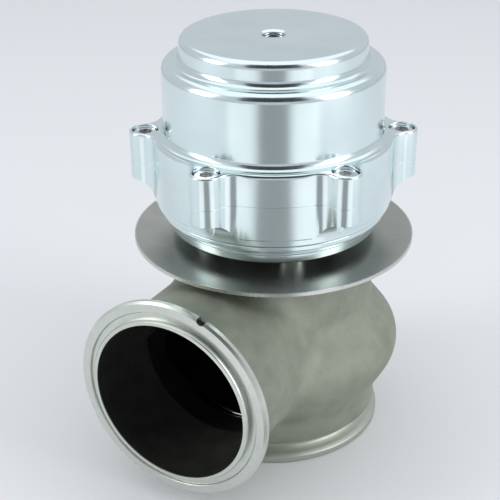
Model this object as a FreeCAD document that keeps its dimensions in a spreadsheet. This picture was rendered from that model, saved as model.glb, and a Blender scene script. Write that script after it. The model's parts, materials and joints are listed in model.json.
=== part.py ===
"""A 66 mm external turbo wastegate, closed: a poppet valve in a cast body under a sprung diaphragm actuator.

Frame: the origin is the centre of the inlet flange's face, +Z runs up the valve's axis, and the outlet faces -Y.
Lengths are millimetres. Every driving size is a cell of the sheet, and every piece takes its sizes from those cells.
"""
import FreeCAD, Part
import math
import os
from types import SimpleNamespace

import Sketcher
from FreeCAD import Vector

doc = FreeCAD.newDocument("turbo_wastegate")

# ---------------------------------------------------------------- driving sizes
SIZES = {
    # gas path
    "port_radius": 33.0,
    "outlet_bore": 33.6,
    "outlet_reach": 82.9,
    "body_height": 87.75,
    "body_wall": 4.6,
    "roof_thickness": 11.5,
    # cast body's outside
    "waist_radius": 45.2,
    "waist_height": 18.2,
    "bulge_radius": 57.4,
    "bulge_height": 40.3,
    "bulge_round": 15.5,
    "collar_radius": 42.4,
    "collar_height": 60.0,
    "tube_radius": 36.0,
    "tube_fillet": 13.0,
    "tube_roof_gap": 2.45,
    "outlet_bore_depth": 34.6,
    "passage_step": 0.4,
    # V-band flanges
    "inlet_flange_radius": 46.7,
    "outlet_flange_radius": 42.5,
    "flange_rim": 3.0,
    "flange_slope": 1.8,
    "inlet_groove_radius": 41.8,
    "inlet_groove_height": 7.8,
    "lip_height": 1.7,
    "lip_width": 1.8,
    "lip_gutter": 2.6,
    "gutter_depth": 0.9,
    "notch_across": 14.9,
    "notch_radius": 1.7,
    "notch_web": 1.0,
    # seat and valve
    "seat_height": 12.4,
    "seat_flange_radius": 40.0,
    "seat_flange_height": 4.0,
    "seat_sleeve_radius": 37.5,
    "seat_cone_height": 2.0,
    "valve_face_height": 1.3,
    "valve_radius": 34.6,
    "valve_margin": 1.4,
    "valve_edge_chamfer": 1.5,
    "valve_hub_radius": 13.0,
    "valve_hub_rise": 4.0,
    "stem_radius": 5.0,
    "stem_thread_radius": 4.0,
    "valve_lift": 16.0,
    # guide
    "guide_radius": 8.5,
    "guide_bottom": 48.0,
    "guide_boss_radius": 13.0,
    "guide_boss_bottom": 51.0,
    "scraper_height": 1.6,
    # heat shield and its standoffs
    "shield_radius": 58.9,
    "shield_thickness": 1.5,
    "standoff_height": 4.75,
    "standoff_radius": 6.0,
    # lower housing
    "housing_radius": 49.5,
    "housing_height": 27.0,
    "housing_floor": 6.0,
    "chamber_radius": 41.0,
    "base_ring_radius": 43.5,
    "base_ring_height": 6.9,
    "bead_radius": 47.2,
    "bead_height": 2.2,
    "undercut_depth": 1.2,
    "undercut_height": 0.9,
    "step_radius": 48.6,
    "step_height": 2.4,
    "hub_radius": 13.0,
    "hub_height": 12.0,
    "bush_radius": 8.0,
    "bush_height": 7.0,
    "seal_radius": 8.5,
    "seal_height": 2.2,
    "ring_radius": 9.2,
    "ring_height": 1.2,
    # ears shared by the housing and the cap
    "ear_circle": 52.5,
    "ear_radius": 6.5,
    "ear_count": 6,
    "ear_blend": 7.0,
    "ear_depth": 7.1,
    "cove_radius": 7.9,
    # cap
    "cap_skirt_height": 13.2,
    "cap_radius": 45.0,
    "cap_height": 52.9,
    "cap_bore": 40.5,
    "cap_roof": 8.0,
    "cap_wall": 4.6,
    "shoulder_height": 43.0,
    "shoulder_round": 3.8,
    "crown_radius": 37.7,
    "crown_round": 2.2,
    "cap_edge_chamfer": 0.9,
    "shelf_round": 3.4,
    "inner_round": 3.0,
    # boost ports
    "boost_port_radius": 4.3,
    "boost_port_mouth": 5.6,
    "side_port_drop": 9.0,
    # diaphragm and what it carries
    "diaphragm_thickness": 1.2,
    "diaphragm_radius": 46.5,
    "diaphragm_drop": 8.8,
    "plate_radius": 31.0,
    "plate_thickness": 2.5,
    "cup_radius": 33.3,
    "cup_wall": 2.0,
    "cup_floor": 3.0,
    "cup_step_height": 20.0,
    "cup_step_run": 4.0,
    "cup_rim_gap": 0.8,
    "cup_rim_wall": 1.4,
    "washer_radius": 9.0,
    "washer_thickness": 1.6,
    "nut_flats": 13.0,
    "nut_height": 6.5,
    "stem_tip": 2.0,
    # springs
    "outer_spring_radius": 27.6,
    "outer_spring_wire": 2.3,
    "middle_spring_radius": 20.6,
    "middle_spring_wire": 1.9,
    "inner_spring_radius": 14.4,
    "inner_spring_wire": 1.5,
    "spring_end_gap": 0.2,
    # socket-head screws
    "screw_radius": 3.0,
    "screw_hole_radius": 3.3,
    "screw_head_radius": 5.0,
    "screw_head_height": 6.0,
    "screw_socket_flats": 5.0,
    "screw_socket_depth": 3.2,
    "counterbore_radius": 5.3,
    "counterbore_depth": 7.0,
    "cap_screw_length": 12.0,
    "housing_screw_length": 20.0,
    "housing_screw_circle": 27.0,
    "housing_screw_count": 4,
    "housing_thread_depth": 8.0,
    "flat_washer_radius": 6.0,
    "flat_washer_thickness": 1.2,
    # clearances
    "running_clearance": 0.05,
    "fit_clearance": 0.05,
    "seat_clearance": 0.15,
    "stop_clearance": 0.3,
}


class Size:
    """A length that knows its number and the sheet expression it comes from, so that sums keep both."""

    def __init__(self, number, text):
        self.number = float(number)
        self.text = text

    def joined(self, other, sign, number):
        return Size(number, f"({self.text} {sign} {as_size(other).text})")

    def __add__(self, other):
        return self.joined(other, "+", self.number + as_size(other).number)

    def __sub__(self, other):
        return self.joined(other, "-", self.number - as_size(other).number)

    def __mul__(self, other):
        return self.joined(other, "*", self.number * as_size(other).number)

    def __truediv__(self, other):
        return self.joined(other, "/", self.number / as_size(other).number)

    def __radd__(self, other):
        return as_size(other) + self

    def __rsub__(self, other):
        return as_size(other) - self

    def __rmul__(self, other):
        return as_size(other) * self

    def __neg__(self):
        return 0 - self


def as_size(value):
    return value if isinstance(value, Size) else Size(value, f"{value:.9g}")


def root(size):
    return Size(math.sqrt(size.number), f"sqrt({size.text})")


def fill_sheet():
    """Write each size in a cell with its alias, and return them all by name."""
    sheet = doc.addObject("Spreadsheet::Sheet", "Sizes")
    for row, (name, value) in enumerate(SIZES.items(), start=1):
        sheet.set(f"A{row}", name)
        sheet.set(f"B{row}", str(value))
        sheet.setAlias(f"B{row}", name)
    doc.recompute()
    return SimpleNamespace(**{name: Size(value, f"Sizes.{name}") for name, value in SIZES.items()})


d = fill_sheet()

# ---------------------------------------------------------------- heights that several pieces share
shield_bottom = d.body_height
outlet_height = d.body_height - d.tube_radius - d.tube_roof_gap
shield_top = shield_bottom + d.shield_thickness
base = shield_top + d.standoff_height
floor_top = base + d.housing_floor
parting = base + d.housing_height
cap_shelf = parting + d.cap_skirt_height
cap_top = parting + d.cap_height
ceiling = cap_top - d.cap_roof
crown_bore = d.crown_radius - d.cap_wall
ear_bottom = parting - d.ear_depth
membrane_bottom = parting - d.diaphragm_drop - d.diaphragm_thickness
membrane_top = parting - d.diaphragm_drop
plate_bottom = membrane_bottom - d.plate_thickness
cup_floor_top = membrane_top + d.cup_floor
stem_washer_top = cup_floor_top + d.washer_thickness
nut_top = stem_washer_top + d.nut_height
stem_top = nut_top + d.stem_tip
seat_cone_bottom = d.seat_height - d.seat_cone_height
guide_top = base - d.scraper_height
stem_bore = d.stem_radius + d.running_clearance
cap_screw_seat = cap_shelf - d.counterbore_depth
housing_screw_seat = floor_top + d.flat_washer_thickness
housing_screw_offset = d.housing_screw_circle / math.sqrt(2)

# ---------------------------------------------------------------- helpers
PLANES = {"XY": "XY_Plane", "XZ": "XZ_Plane", "YZ": "YZ_Plane"}
# Most turned rounds are drawn as flats, which keeps their faces cylinders, cones and planes.
SMALLEST_ROUND = 1.5
FLAT_ANGLE = math.radians(24)
ARC = "true arc"


def new_body(name):
    body = doc.addObject("PartDesign::Body", name)
    body.Label = name
    body.AllowCompound = True
    return body


def new_sketch(body, name, plane, height=None):
    """A sketch on one of the body's own origin planes, raised along the plane's normal by height."""
    sketch = body.newObject("Sketcher::SketchObject", name)
    support = [item for item in body.Origin.OriginFeatures if item.Role == PLANES[plane]][0]
    sketch.AttachmentSupport = (support, [""])
    sketch.MapMode = "FlatFace"
    if height is not None:
        sketch.AttachmentOffset = FreeCAD.Placement(Vector(0, 0, height.number), FreeCAD.Rotation())
        sketch.setExpression(".AttachmentOffset.Base.z", height.text)
    return sketch


def bind(sketch, constraint, size):
    """Add a dimension whose value follows the sheet."""
    index = sketch.addConstraint(constraint)
    sketch.setExpression(f"Constraints[{index}]", size.text)


def lock_point(sketch, geometry, position, point):
    """Hold one point of a sketch at its two sheet sizes, or on an axis where the size is zero."""
    for kind, axis, size in (("DistanceX", -2, point[0]), ("DistanceY", -1, point[1])):
        size = as_size(size)
        if size.number == 0:
            sketch.addConstraint(Sketcher.Constraint("PointOnObject", geometry, position, axis))
        else:
            bind(sketch, Sketcher.Constraint(kind, -1, 1, geometry, position, size.number), size)


def add_path(sketch, steps):
    """A closed path of ("line", start, end) and ("arc", start, end, centre, anticlockwise, radius) steps."""
    pieces = []
    for kind, start, end, *rest in steps:
        ends = [Vector(as_size(p[0]).number, as_size(p[1]).number, 0) for p in (start, end)]
        if kind == "line":
            pieces.append((sketch.addGeometry(Part.LineSegment(*ends), False), 1, 2))
            continue
        centre, anticlockwise, radius = rest
        middle = Vector(as_size(centre[0]).number, as_size(centre[1]).number, 0)
        circle = Part.Circle(middle, Vector(0, 0, 1), radius.number)
        near, far = ends if anticlockwise else reversed(ends)
        arc = sketch.addGeometry(Part.ArcOfCircle(circle, circle.parameter(near), circle.parameter(far)), False)
        bind(sketch, Sketcher.Constraint("Radius", arc, radius.number), radius)
        pieces.append((arc, 1, 2) if anticlockwise else (arc, 2, 1))
    for i, (piece, first, _) in enumerate(pieces):
        before, _, last = pieces[i - 1]
        sketch.addConstraint(Sketcher.Constraint("Coincident", before, last, piece, first))
        lock_point(sketch, piece, first, steps[i][1])


def rounding(before, corner, after):
    """How a round of a given radius meets a corner: its start, its centre and its turn, as shares of the radius."""
    here, there, beyond = (
        Vector(as_size(p[0]).number, as_size(p[1]).number, 0) for p in (corner, before, after)
    )
    to_before = (there - here).normalize()
    to_after = (beyond - here).normalize()
    half = to_before.getAngle(to_after) / 2
    centre = (to_before + to_after).normalize() / math.sin(half)
    way = 1 if to_after.cross(to_before).z > 0 else -1
    return to_before / math.tan(half), centre, way * (math.pi - 2 * half)


def add_outline(sketch, corners):
    """A closed outline through corners (x, y), (x, y, radius) for a round drawn as flats, or (x, y, radius, ARC)."""
    runs = []
    for i, corner in enumerate(corners):
        if len(corner) == 2:
            runs.append(([corner], None))
            continue
        x, y, radius = (as_size(part) for part in corner[:3])
        start, centre, turn = rounding(corners[i - 1], corner, corners[(i + 1) % len(corners)])
        flats = 1 if radius.number < SMALLEST_ROUND else max(2, round(abs(turn) / FLAT_ANGLE))
        true_arc = corner[3:] == (ARC,)
        points = []
        for share in (0, 1) if true_arc else [j / flats for j in range(flats + 1)]:
            turned_by = FreeCAD.Rotation(Vector(0, 0, 1), math.degrees(turn * share))
            spoke = turned_by.multVec(start - centre) + centre
            points.append((x + radius * spoke.x, y + radius * spoke.y))
        middle = (x + radius * centre.x, y + radius * centre.y)
        runs.append((points, ("arc", *points, middle, turn > 0, radius) if true_arc else None))
    steps = []
    for i, (points, arc) in enumerate(runs):
        steps.append(("line", runs[i - 1][0][-1], points[0]))
        steps += [arc] if arc else [("line", *pair) for pair in zip(points, points[1:])]
    add_path(sketch, steps)


def add_circle(sketch, centre, radius):
    place = Vector(as_size(centre[0]).number, as_size(centre[1]).number, 0)
    circle = sketch.addGeometry(Part.Circle(place, Vector(0, 0, 1), radius.number), False)
    bind(sketch, Sketcher.Constraint("Radius", circle, radius.number), radius)
    lock_point(sketch, circle, 3, centre)


def add_axis(sketch, start, end):
    """A construction line to turn a profile about."""
    ends = [Vector(as_size(p[0]).number, as_size(p[1]).number, 0) for p in (start, end)]
    line = sketch.addGeometry(Part.LineSegment(*ends), True)
    lock_point(sketch, line, 1, start)
    lock_point(sketch, line, 2, end)


def turned(body, name, corners, cut=False, plane="XZ", axis=None):
    """Turn an outline about the sketch's vertical axis, or about its own axis line, to add or cut material."""
    sketch = new_sketch(body, name + "_outline", plane)
    if axis:
        add_axis(sketch, *axis)
    add_outline(sketch, corners)
    before = body.Shape.Volume if cut else 0
    feature = body.newObject("PartDesign::Groove" if cut else "PartDesign::Revolution", name)
    feature.Profile = (sketch, [""])
    feature.ReferenceAxis = (sketch, ["Axis0" if axis else "V_Axis"])
    feature.Angle = 360
    doc.recompute()
    if cut and body.Shape.Volume >= before:
        raise ValueError(f"{name} removes nothing from {body.Label}")
    return feature


def padded(body, name, draw, height, length, plane="XY"):
    """Extrude what draw puts in a sketch at a height, along the plane's normal."""
    sketch = new_sketch(body, name + "_outline", plane, height)
    draw(sketch)
    feature = body.newObject("PartDesign::Pad", name)
    feature.Profile = (sketch, [""])
    feature.Length = length.number
    feature.setExpression("Length", length.text)
    doc.recompute()
    return feature


def pocketed(body, name, draw, height, depth, plane="XY", along_normal=False):
    """Cut what draw puts in a sketch at a height, against the plane's normal unless told otherwise."""
    before = body.Shape.Volume
    sketch = new_sketch(body, name + "_outline", plane, height)
    draw(sketch)
    feature = body.newObject("PartDesign::Pocket", name)
    feature.Profile = (sketch, [""])
    feature.Length = depth.number
    feature.setExpression("Length", depth.text)
    feature.Reversed = along_normal
    doc.recompute()
    if body.Shape.Volume >= before:
        raise ValueError(f"{name} removes nothing from {body.Label}")
    return feature


def around_axis(body, name, features, count):
    """Repeat features round the valve's axis."""
    pattern = body.newObject("PartDesign::PolarPattern", name)
    pattern.Originals = features
    axis = [item for item in body.Origin.OriginFeatures if item.Role == "Z_Axis"][0]
    pattern.Axis = (axis, [""])
    pattern.Angle = 360
    pattern.Occurrences = int(count.number)
    pattern.setExpression("Occurrences", count.text)
    body.Tip = pattern
    doc.recompute()
    return pattern


def edges_where(shape, test):
    return [f"Edge{i}" for i, edge in enumerate(shape.Edges, start=1) if test(edge)]


def dressed(body, name, test, kind, measure, size):
    """Fillet or chamfer the edges of the body so far that pass the test."""
    tip = body.Tip
    names = edges_where(tip.Shape, test)
    if not names:
        raise ValueError(f"{name} finds no edge on {body.Label}")
    feature = body.newObject(kind, name)
    feature.Base = (tip, names)
    setattr(feature, measure, size.number)
    feature.setExpression(measure, size.text)
    doc.recompute()
    return feature


def ring(name, inner, outer, bottom, height, bevel=0.3):
    """A plain ring about the valve's axis, with its outer edges broken."""
    body = new_body(name)
    top = bottom + height
    edge = as_size(bevel)
    turned(
        body,
        name + "_ring",
        [
            (inner, bottom),
            (outer - edge, bottom),
            (outer, bottom + edge),
            (outer, top - edge),
            (outer - edge, top),
            (inner, top),
        ],
    )
    return body


# ---------------------------------------------------------------- gas path
def valve_body():
    """The cast body: a bulged chamber over the inlet's V-band flange, with the outlet tube and its flange."""
    body = new_body("valve_body")
    groove_top = d.inlet_groove_height
    turned(
        body,
        "chamber_casting",
        [
            (0, 0),
            (d.inlet_flange_radius, 0, 0.6),
            (d.inlet_flange_radius, d.flange_rim, 0.5),
            (d.inlet_groove_radius, d.flange_rim + d.flange_slope, 1.0),
            (d.inlet_groove_radius, groove_top, 1.2),
            (d.waist_radius, groove_top + 0.8, 0.8),
            (d.waist_radius, d.waist_height, 12.0, ARC),
            (d.bulge_radius, d.bulge_height, d.bulge_round, ARC),
            (d.collar_radius, d.collar_height, 10.0, ARC),
            (d.collar_radius, d.body_height, 0.8),
            (0, d.body_height),
        ],
    )
    outlet_tube(body)
    chamber_cavity(body)
    boss_top = d.body_height - 3.0
    turned(
        body,
        "guide_boss",
        [
            (0, d.guide_boss_bottom),
            (d.guide_boss_radius - 2.0, d.guide_boss_bottom),
            (d.guide_boss_radius, d.guide_boss_bottom + 2.0),
            (d.guide_boss_radius, boss_top),
            (0, boss_top),
        ],
    )
    pocketed(
        body,
        "guide_bore",
        lambda s: add_circle(s, (0, 0), d.guide_radius + d.fit_clearance),
        d.body_height,
        d.body_height - d.guide_boss_bottom + 1.0,
    )
    hole = pocketed(
        body,
        "housing_thread",
        lambda s: add_circle(s, (housing_screw_offset, housing_screw_offset), d.screw_radius + d.fit_clearance),
        d.body_height,
        d.housing_thread_depth,
    )
    around_axis(body, "housing_threads", [hole], d.housing_screw_count)
    return body


def outlet_tube(body):
    """The outlet tube and its V-band flange, turned about the outlet's axis, with the joint to the chamber filleted."""
    axis_height = outlet_height
    face = -d.outlet_reach
    rim_back = face + d.flange_rim
    slope_back = rim_back + d.flange_slope
    lip_radius = d.outlet_bore + d.lip_width
    gutter_radius = lip_radius + d.lip_gutter
    turned(
        body,
        "outlet_tube",
        [
            (0, axis_height),
            (face - d.lip_height, axis_height),
            (face - d.lip_height, axis_height + lip_radius, 0.4),
            (face + d.gutter_depth, axis_height + lip_radius),
            (face + d.gutter_depth, axis_height + gutter_radius),
            (face, axis_height + gutter_radius, 0.4),
            (face, axis_height + d.outlet_flange_radius, 0.9),
            (rim_back, axis_height + d.outlet_flange_radius, 0.5),
            (slope_back, axis_height + d.tube_radius, 1.2),
            (0, axis_height + d.tube_radius),
        ],
        plane="YZ",
        axis=((0, axis_height), (face, axis_height)),
    )
    height = axis_height.number
    radius = d.tube_radius.number
    flange = slope_back.number + 1

    def joins_the_chamber(edge):
        points = edge.discretize(9)
        return all(abs(math.hypot(p.x, p.z - height) - radius) < 0.02 and p.y > flange for p in points)

    dressed(body, "tube_blend", joins_the_chamber, "PartDesign::Fillet", "Radius", d.tube_fillet)
    notch_height = axis_height + root(d.outlet_flange_radius * d.outlet_flange_radius - d.notch_across * d.notch_across)
    pocketed(
        body,
        "locating_notch",
        lambda s: add_circle(s, (d.notch_across, notch_height), d.notch_radius),
        d.outlet_reach - d.notch_web,
        d.flange_rim + d.flange_slope - d.notch_web,
        plane="XZ",
    )


def chamber_cavity(body):
    """The seat's stepped bore, the chamber above it and the outlet's bore."""
    wall = d.body_wall
    roof = d.body_height - d.roof_thickness
    neck = roof - d.collar_height
    turned(
        body,
        "chamber",
        [
            (0, 0),
            (d.seat_flange_radius + d.fit_clearance, 0),
            (d.seat_flange_radius + d.fit_clearance, d.seat_flange_height),
            (d.seat_sleeve_radius + d.fit_clearance, d.seat_flange_height),
            (d.seat_sleeve_radius + d.fit_clearance, d.seat_height, 1.0),
            (d.bulge_radius - 1.15 * wall, d.bulge_height, d.bulge_round - wall),
            (d.collar_radius - wall, d.collar_height, neck * 0.7),
            (d.collar_radius - wall, roof, neck * 0.35),
            (0, roof),
        ],
        cut=True,
    )
    mouth = d.outlet_reach + d.lip_height
    bore_end = mouth - d.outlet_bore_depth
    for name, radius, start, depth in (
        ("outlet_passage", d.outlet_bore - d.passage_step, d.guide_boss_radius * 2, mouth - d.guide_boss_radius * 2),
        ("outlet_bore", d.outlet_bore, bore_end, d.outlet_bore_depth + 1.0),
    ):
        pocketed(
            body,
            name,
            lambda s: add_circle(s, (0, outlet_height), radius),
            start,
            depth,
            plane="XZ",
            along_normal=True,
        )


def valve_seat():
    """The replaceable seat ring: a flange under a sleeve, with a 45 degree cone at the top of its port."""
    body = new_body("valve_seat")
    turned(
        body,
        "seat_ring",
        [
            (d.port_radius, 0),
            (d.seat_flange_radius, 0),
            (d.seat_flange_radius, d.seat_flange_height),
            (d.seat_sleeve_radius, d.seat_flange_height),
            (d.seat_sleeve_radius, d.seat_height),
            (d.port_radius + d.seat_cone_height, d.seat_height),
            (d.port_radius, seat_cone_bottom),
        ],
    )
    return body


def valve():
    """The poppet: a head with a 45 degree face, a hub that runs up into the stem, and the stem's threaded tip."""
    body = new_body("valve")
    cone = d.port_radius - seat_cone_bottom - d.seat_clearance * math.sqrt(2)
    margin_bottom = d.valve_radius - cone
    face_bottom = margin_bottom - d.valve_face_height
    margin_top = margin_bottom + d.valve_margin
    deck = margin_top + d.valve_edge_chamfer * 0.7
    turned(
        body,
        "poppet",
        [
            (0, face_bottom + 1.0),
            (d.valve_radius - 12.0, face_bottom + 1.0),
            (d.valve_radius - 10.0, face_bottom),
            (d.valve_radius - d.valve_face_height, face_bottom),
            (d.valve_radius, margin_bottom),
            (d.valve_radius, margin_top),
            (d.valve_radius - d.valve_edge_chamfer, deck),
            (d.valve_hub_radius, deck + 1.0, 6.0),
            (d.stem_radius, deck + 1.0 + d.valve_hub_rise, 8.0),
            (d.stem_radius, plate_bottom),
            (d.stem_thread_radius, plate_bottom),
            (d.stem_thread_radius, stem_top - 0.6),
            (d.stem_thread_radius - 0.6, stem_top),
            (0, stem_top),
        ],
    )
    return body


def valve_guide():
    return ring("valve_guide", stem_bore, d.guide_radius, d.guide_bottom, guide_top - d.guide_bottom)


def stem_scraper():
    return ring("stem_scraper", stem_bore, d.guide_radius, guide_top, d.scraper_height, bevel=0.2)


# ---------------------------------------------------------------- heat shield and standoffs
def heat_shield():
    """A flat disc over the body, with a hole for the guide and one for each housing screw."""
    body = new_body("heat_shield")

    def disc(sketch):
        add_circle(sketch, (0, 0), d.shield_radius)
        add_circle(sketch, (0, 0), d.guide_radius + 0.5)

    padded(body, "disc", disc, shield_bottom, d.shield_thickness)
    hole = pocketed(
        body,
        "screw_hole",
        lambda s: add_circle(s, (housing_screw_offset, housing_screw_offset), d.screw_hole_radius),
        shield_top,
        d.shield_thickness,
    )
    around_axis(body, "screw_holes", [hole], d.housing_screw_count)
    return body


def screw_rings(name, outer, bottom, height):
    """One plain ring under each housing screw."""
    body = new_body(name)

    def face(sketch):
        place = (housing_screw_offset, housing_screw_offset)
        add_circle(sketch, place, outer)
        add_circle(sketch, place, d.screw_hole_radius)

    one = padded(body, name + "_one", face, bottom, height)
    around_axis(body, name + "_all", [one], d.housing_screw_count)
    return body


def housing_standoffs():
    return screw_rings("housing_standoffs", d.standoff_radius, shield_top, d.standoff_height)


def housing_screw_washers():
    return screw_rings("housing_screw_washers", d.flat_washer_radius, floor_top, d.flat_washer_thickness)


# ---------------------------------------------------------------- actuator housing and cap
def add_ears(body, bottom, top):
    """The screw ears round the body: each a round boss that a concave arc blends into the wall on either side."""
    to_blend = d.housing_radius + d.ear_blend
    reach = d.ear_radius + d.ear_blend
    blend_y = (to_blend * to_blend - reach * reach + d.ear_circle * d.ear_circle) / (2 * d.ear_circle)
    blend_x = root(to_blend * to_blend - blend_y * blend_y)
    on_wall = (blend_x * d.housing_radius / to_blend, blend_y * d.housing_radius / to_blend)
    on_ear = (blend_x * d.ear_radius / reach, d.ear_circle + (blend_y - d.ear_circle) * d.ear_radius / reach)
    root_y = d.housing_radius - d.ear_blend
    left_wall, left_ear, left_blend = ((-x, y) for x, y in (on_wall, on_ear, (blend_x, blend_y)))
    outline = [
        ("line", (-on_wall[0], root_y), (on_wall[0], root_y)),
        ("line", (on_wall[0], root_y), on_wall),
        ("arc", on_wall, on_ear, (blend_x, blend_y), False, d.ear_blend),
        ("arc", on_ear, left_ear, (0, d.ear_circle), True, d.ear_radius),
        ("arc", left_ear, left_wall, left_blend, False, d.ear_blend),
        ("line", left_wall, (-on_wall[0], root_y)),
    ]
    ear = padded(body, "ear", lambda s: add_path(s, outline), bottom, top - bottom)
    around_axis(body, "ears", [ear], d.ear_count)


def actuator_housing():
    """The lower housing: a turned bowl with a stem hub in its floor, screw ears at its rim and a boost port."""
    body = new_body("actuator_housing")
    padded(
        body,
        "blank",
        lambda s: add_circle(s, (0, 0), d.housing_radius),
        base,
        d.housing_height,
    )
    add_ears(body, base, parting)
    ring_top = base + d.base_ring_height
    bead_top = ring_top + d.bead_height
    undercut_top = bead_top + d.undercut_height
    step_top = undercut_top + d.step_height
    outside = d.ear_circle + d.ear_radius + 2.0
    turned(
        body,
        "outer_turning",
        [
            (d.base_ring_radius - 0.4, base),
            (d.base_ring_radius, base + 0.4),
            (d.base_ring_radius, ring_top),
            (d.bead_radius - 0.5, ring_top),
            (d.bead_radius, ring_top + 0.5),
            (d.bead_radius, bead_top),
            (d.bead_radius - d.undercut_depth, bead_top),
            (d.bead_radius - d.undercut_depth, undercut_top),
            (d.step_radius, undercut_top),
            (d.step_radius, step_top),
            (d.housing_radius, step_top + 0.6),
            (d.housing_radius, ear_bottom, d.cove_radius),
            (outside, ear_bottom),
            (outside, base),
        ],
        cut=True,
    )
    turned(
        body,
        "lower_chamber",
        [
            (0, base + d.hub_height),
            (d.hub_radius, base + d.hub_height, 1.0),
            (d.hub_radius, floor_top, 1.5),
            (d.chamber_radius, floor_top, d.inner_round),
            (d.chamber_radius, parting - d.diaphragm_thickness),
            (d.diaphragm_radius + d.fit_clearance, parting - d.diaphragm_thickness),
            (d.diaphragm_radius + d.fit_clearance, parting),
            (0, parting),
        ],
        cut=True,
    )
    stem_hole(body)
    thread = pocketed(
        body,
        "cap_thread",
        lambda s: add_circle(s, (0, d.ear_circle), d.screw_radius + d.fit_clearance),
        parting,
        d.ear_depth + d.cove_radius,
    )
    around_axis(body, "cap_threads", [thread], d.ear_count)
    hole = pocketed(
        body,
        "housing_screw_hole",
        lambda s: add_circle(s, (housing_screw_offset, housing_screw_offset), d.screw_hole_radius),
        floor_top,
        d.housing_floor,
    )
    around_axis(body, "housing_screw_holes", [hole], d.housing_screw_count)
    port_axis = parting - d.side_port_drop
    turned(
        body,
        "side_boost_port",
        [
            (-d.chamber_radius + 2.0, port_axis),
            (-d.chamber_radius + 2.0, port_axis + d.boost_port_radius),
            (-d.housing_radius + (d.boost_port_mouth - d.boost_port_radius), port_axis + d.boost_port_radius),
            (-d.housing_radius, port_axis + d.boost_port_mouth),
            (-d.housing_radius - 1.0, port_axis + d.boost_port_mouth),
            (-d.housing_radius - 1.0, port_axis),
        ],
        cut=True,
        axis=((0, port_axis), (-d.housing_radius, port_axis)),
    )
    return body


def stem_hole(body):
    """The hub's stepped bore for the bush, the stem seal and the retaining ring."""
    bush_top = base + 2.0 + d.bush_height
    seal_top = bush_top + d.seal_height
    ring_top = seal_top + d.ring_height + 0.2
    turned(
        body,
        "stem_bore",
        [
            (0, base),
            (d.stem_radius + 0.4, base),
            (d.stem_radius + 0.4, base + 2.0),
            (d.bush_radius + d.fit_clearance, base + 2.0),
            (d.bush_radius + d.fit_clearance, bush_top),
            (d.seal_radius + d.fit_clearance, bush_top),
            (d.seal_radius + d.fit_clearance, seal_top),
            (d.ring_radius + d.fit_clearance, seal_top),
            (d.ring_radius + d.fit_clearance, ring_top),
            (d.seal_radius, ring_top),
            (d.seal_radius, base + d.hub_height),
            (0, base + d.hub_height),
        ],
        cut=True,
    )


def stem_bush():
    return ring("stem_bush", stem_bore, d.bush_radius, base + 2.0, d.bush_height)


def stem_seal():
    bottom = base + 2.0 + d.bush_height
    return ring("stem_seal", stem_bore, d.seal_radius, bottom, d.seal_height)


def seal_retaining_ring():
    """A split ring in the hub's groove, which holds the stem seal down."""
    bottom = base + 2.0 + d.bush_height + d.seal_height + 0.1
    body = ring("seal_retaining_ring", d.ring_radius - 2.2, d.ring_radius, bottom, d.ring_height, bevel=0.1)
    slot = d.ring_radius + 1.0
    pocketed(
        body,
        "split",
        lambda s: add_outline(s, [(-1.5, 0), (1.5, 0), (1.5, slot), (-1.5, slot)]),
        bottom + d.ring_height,
        d.ring_height,
    )
    return body


def actuator_cap():
    """The cap: a domed spring can on a skirt with screw ears, and a boost port in the middle of its crown."""
    body = new_body("actuator_cap")
    shoulder = parting + d.shoulder_height
    turned(
        body,
        "cap_turning",
        [
            (d.cap_bore, parting),
            (d.housing_radius, parting),
            (d.housing_radius, cap_shelf),
            (d.cap_radius, cap_shelf, d.shelf_round),
            (d.cap_radius, shoulder, d.shoulder_round),
            (d.crown_radius, shoulder, d.inner_round),
            (d.crown_radius, cap_top, d.crown_round),
            (d.boost_port_mouth, cap_top),
            (d.boost_port_radius, cap_top - (d.boost_port_mouth - d.boost_port_radius)),
            (d.boost_port_radius, ceiling),
            (crown_bore, ceiling, 1.0),
            (crown_bore, shoulder - d.cap_wall, 1.0),
            (d.cap_bore, shoulder - d.cap_wall, d.inner_round),
        ],
    )
    add_ears(body, parting, cap_shelf)
    skirt = d.housing_radius.number
    height = cap_shelf.number

    def rims_the_skirt(edge):
        ends = [vertex.Point for vertex in edge.Vertexes]
        return all(abs(p.z - height) < 0.01 and math.hypot(p.x, p.y) > skirt - 0.01 for p in ends)

    dressed(body, "skirt_edge", rims_the_skirt, "PartDesign::Chamfer", "Size", d.cap_edge_chamfer)
    shank = pocketed(
        body,
        "screw_hole",
        lambda s: add_circle(s, (0, d.ear_circle), d.screw_hole_radius),
        cap_shelf,
        d.cap_skirt_height,
    )
    seat = pocketed(
        body,
        "counterbore",
        lambda s: add_circle(s, (0, d.ear_circle), d.counterbore_radius),
        cap_shelf,
        d.counterbore_depth,
    )
    around_axis(body, "screw_seats", [shank, seat], d.ear_count)
    return body


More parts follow.
